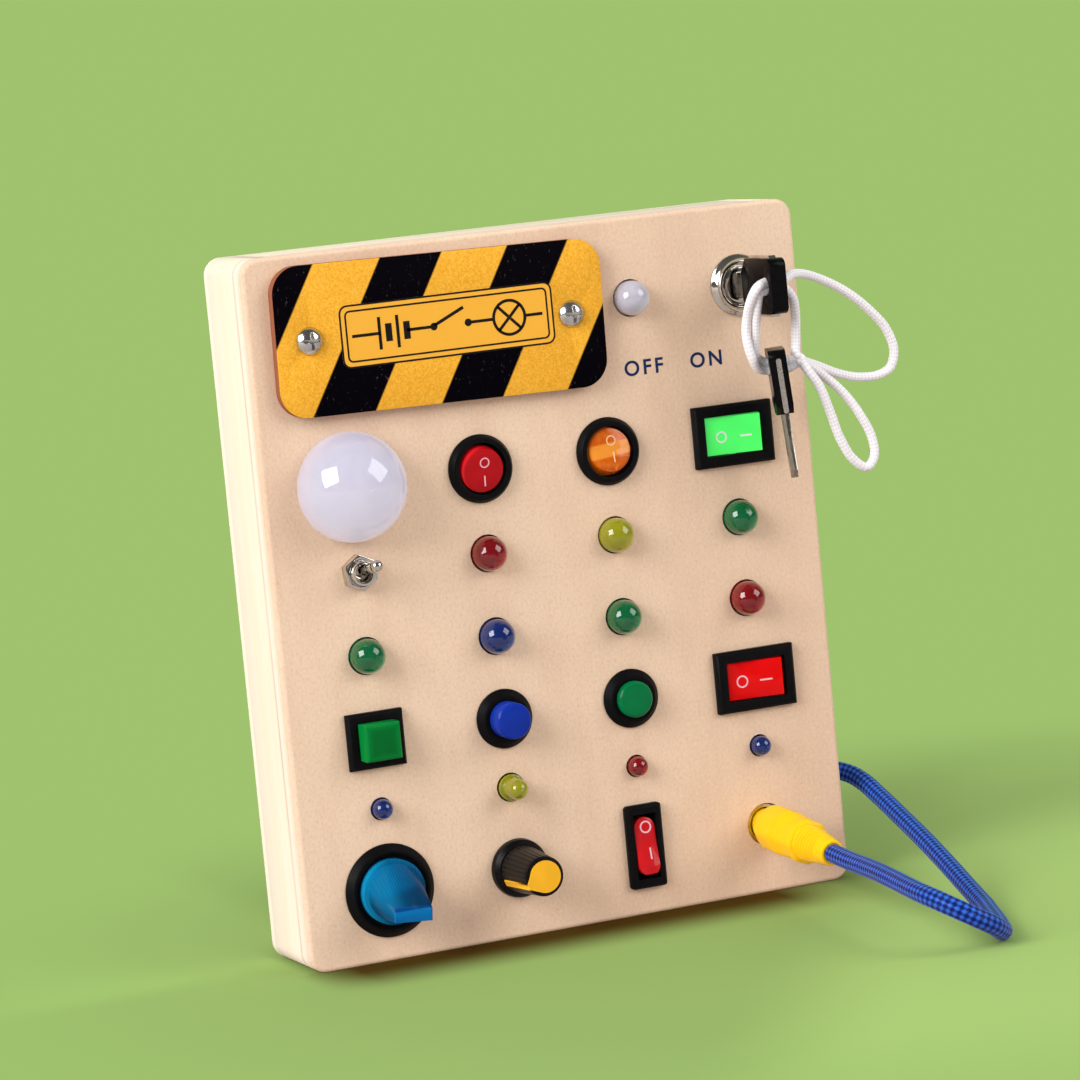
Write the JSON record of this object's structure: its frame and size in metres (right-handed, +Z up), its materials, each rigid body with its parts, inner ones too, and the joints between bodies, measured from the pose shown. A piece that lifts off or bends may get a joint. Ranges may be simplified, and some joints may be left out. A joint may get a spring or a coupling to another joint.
{
  "type": "busy board",
  "caption": "Wooden busy board with switches, lamps, push buttons, a striped plate, a key lock with keys on a cord, a dial, a selector and a plug on a lead.",
  "frame": {"origin": "middle of the bottom face of the wooden box, on which the board stands", "axes": "+X to the right seen from the front, +Y from the front panel into the board, +Z up"},
  "size_m": [0.1708, 0.1367, 0.177],
  "materials": {
    "plywood": "satin",
    "solid_wood": "satin",
    "steel": "polished",
    "black_plastic": "gloss",
    "cell_metal": "satin",
    "plate_yellow": "matte",
    "brass": "satin",
    "wire_red": "satin",
    "cord_white": "braided",
    "lamp_white": "gloss",
    "white_plastic": "gloss",
    "red_plastic": "gloss",
    "amber_plastic": "gloss",
    "green_lit": "gloss",
    "green_plastic": "gloss",
    "blue_plastic": "gloss",
    "lamp_red": "gloss",
    "lamp_yellow": "gloss",
    "lamp_green": "gloss",
    "lamp_blue": "gloss",
    "selector_blue": "gloss",
    "yellow_plastic": "gloss",
    "cord_blue": "braided",
    "rubber_black": "matte"
  },
  "bodies": {
    "board": {"front_panel": "plywood", "left_rail": "solid_wood", "right_rail": "solid_wood", "top_rail": "solid_wood", "bottom_rail": "solid_wood", "back_panel": "plywood", "wood_screws": "steel", "battery_contacts": "steel", "plate_screws": "steel", "hex_nuts": "steel", "lock_body": "steel", "toggle_body": "steel", "toggle_nut": "steel", "dial_body": "steel", "battery_box": "black_plastic", "battery_door": "black_plastic", "red_round_housing": "black_plastic", "amber_round_housing": "black_plastic", "green_rocker_housing": "black_plastic", "red_rocker_housing": "black_plastic", "mini_rocker_housing": "black_plastic", "square_button_housing": "black_plastic", "blue_button_housing": "black_plastic", "green_button_housing": "black_plastic", "selector_housing": "black_plastic", "jack_socket": "black_plastic", "batteries": "cell_metal", "hazard_plate": "plate_yellow", "terminals": "brass", "wiring": "wire_red", "indicator_lamp": "lamp_white", "dome_lens": "lamp_white", "dome_base": "white_plastic", "red_lamps": "lamp_red", "yellow_lamps": "lamp_yellow", "green_lamps": "lamp_green", "blue_lamps": "lamp_blue", "blue_lead": "cord_blue", "lead_grommet": "rubber_black"},
    "lock_core": {"lock_core": "steel"},
    "key": {"key_blade": "steel", "key_bow": "black_plastic"},
    "spare_key": {"spare_key_blade": "steel", "spare_key_bow": "black_plastic", "key_cord": "cord_white"},
    "toggle": {"toggle_lever": "steel"},
    "round_rocker_red": {"red_round_rocker": "red_plastic"},
    "round_rocker_amber": {"amber_round_rocker": "amber_plastic"},
    "wide_rocker_green": {"green_rocker": "green_lit"},
    "wide_rocker_red": {"red_rocker": "red_plastic"},
    "small_rocker": {"mini_rocker": "red_plastic"},
    "square_cap": {"square_button_cap": "green_plastic"},
    "blue_cap": {"blue_button_cap": "blue_plastic"},
    "green_cap": {"green_button_cap": "green_plastic"},
    "selector": {"selector_knob": "selector_blue"},
    "dial": {"dial_shaft": "steel", "dial_knob": "black_plastic", "dial_pointer": "yellow_plastic"},
    "plug": {"plug": "yellow_plastic", "plug_pin": "steel"}
  },
  "joints": [
    {"name": "key_turn", "type": "hinge", "parent": "board", "child": "lock_core", "pos_m": [0.058, -0.014, 0.1565], "axis": [0, 1, 0], "range_deg": [0, 90]},
    {"name": "key_pull", "type": "slide", "parent": "lock_core", "child": "key", "axis": [0, -1, 0], "range_m": [0, 0.015], "deforming": ["key_cord"]},
    {"name": "spare_hang", "type": "hinge", "parent": "key", "child": "spare_key", "pos_m": [0.058, -0.0332, 0.1565], "axis": [0, 1, 0], "range_deg": [-90, 0], "deforming": ["key_cord"]},
    {"name": "toggle_flip", "type": "hinge", "parent": "board", "child": "toggle", "pos_m": [-0.0525, -0.015, 0.0976], "axis": [0.9063, 0, -0.4226], "range_deg": [0, 28]},
    {"name": "red_round_rock", "type": "hinge", "parent": "board", "child": "round_rocker_red", "pos_m": [-0.0175, -0.013, 0.1189], "axis": [-1, 0, 0], "range_deg": [0, 16]},
    {"name": "amber_round_rock", "type": "hinge", "parent": "board", "child": "round_rocker_amber", "pos_m": [0.0175, -0.013, 0.1189], "axis": [1, 0, 0], "range_deg": [0, 16]},
    {"name": "green_wide_rock", "type": "hinge", "parent": "board", "child": "wide_rocker_green", "pos_m": [0.0525, -0.013, 0.1189], "axis": [0, 0, 1], "range_deg": [0, 16]},
    {"name": "red_wide_rock", "type": "hinge", "parent": "board", "child": "wide_rocker_red", "pos_m": [0.0525, -0.013, 0.0558], "axis": [0, 0, 1], "range_deg": [0, 16]},
    {"name": "small_rock", "type": "hinge", "parent": "board", "child": "small_rocker", "pos_m": [0.0175, -0.013, 0.0178], "axis": [1, 0, 0], "range_deg": [0, 16]},
    {"name": "square_push", "type": "slide", "parent": "board", "child": "square_cap", "axis": [0, 1, 0], "range_m": [0, 0.0016], "stiffness_N_per_m": 250, "springref_m": -0.001},
    {"name": "blue_push", "type": "slide", "parent": "board", "child": "blue_cap", "axis": [0, 1, 0], "range_m": [0, 0.0016], "stiffness_N_per_m": 250, "springref_m": -0.001},
    {"name": "green_push", "type": "slide", "parent": "board", "child": "green_cap", "axis": [0, 1, 0], "range_m": [0, 0.0016], "stiffness_N_per_m": 250, "springref_m": -0.001},
    {"name": "selector_turn", "type": "hinge", "parent": "board", "child": "selector", "pos_m": [-0.0525, -0.014, 0.0178], "axis": [0, 1, 0], "range_deg": [0, 90]},
    {"name": "dial_turn", "type": "hinge", "parent": "board", "child": "dial", "pos_m": [-0.0175, -0.014, 0.0178], "axis": [0, 1, 0], "range_deg": [-22, 278]},
    {"name": "plug_pull", "type": "slide", "parent": "board", "child": "plug", "axis": [0, -0.9969, -0.0785], "range_m": [0, 0.013], "deforming": ["blue_lead"]}
  ],
  "couplings": [
    {"joint": "spare_hang", "follows": "key_turn", "ratio": -1}
  ]
}
